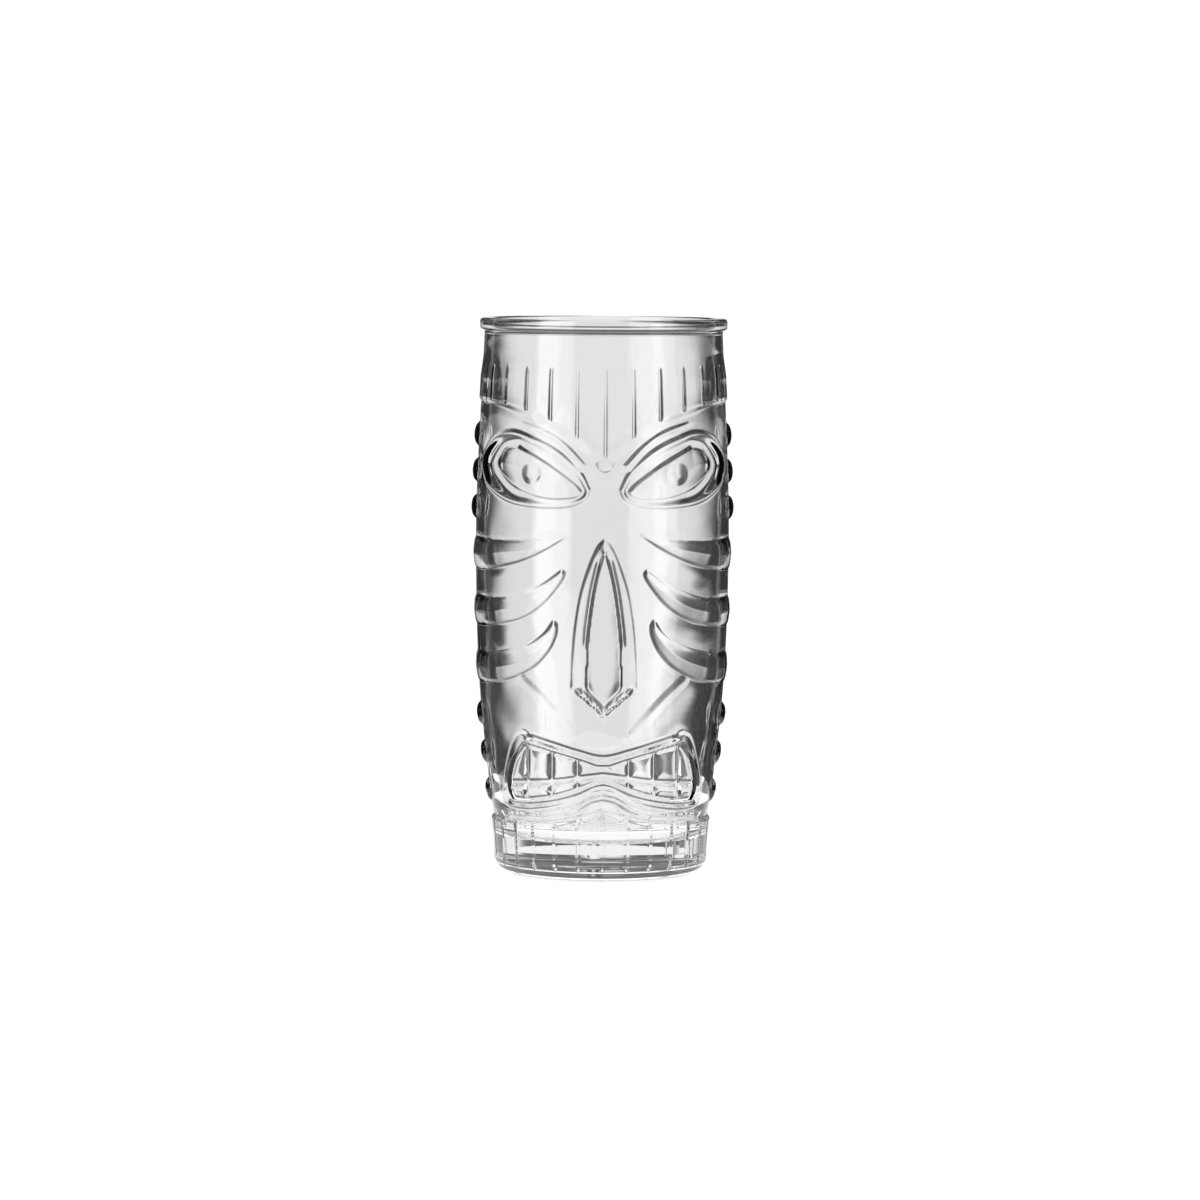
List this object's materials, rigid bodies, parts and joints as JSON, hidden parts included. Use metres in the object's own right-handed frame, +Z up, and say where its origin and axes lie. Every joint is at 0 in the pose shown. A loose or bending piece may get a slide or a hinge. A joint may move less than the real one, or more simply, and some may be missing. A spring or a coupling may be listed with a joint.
{
  "type": "mask tumbler",
  "caption": "Tall barrel-shaped pressed-glass tumbler with a carved-mask face in relief, a fluted collar and a fluted base.",
  "frame": {"origin": "on the tumbler's axis, at the level of the foot", "axes": "+Z up to the rim; the mask looks along -Y, the plain back faces +Y; the rows of studs are on +X and -X"},
  "size_m": [0.0794, 0.0782, 0.1683],
  "materials": {
    "clear_glass": "clear soda-lime glass, fire-polished all over"
  },
  "bodies": {
    "root": {"glass_tumbler": "clear_glass"}
  },
  "joints": []
}
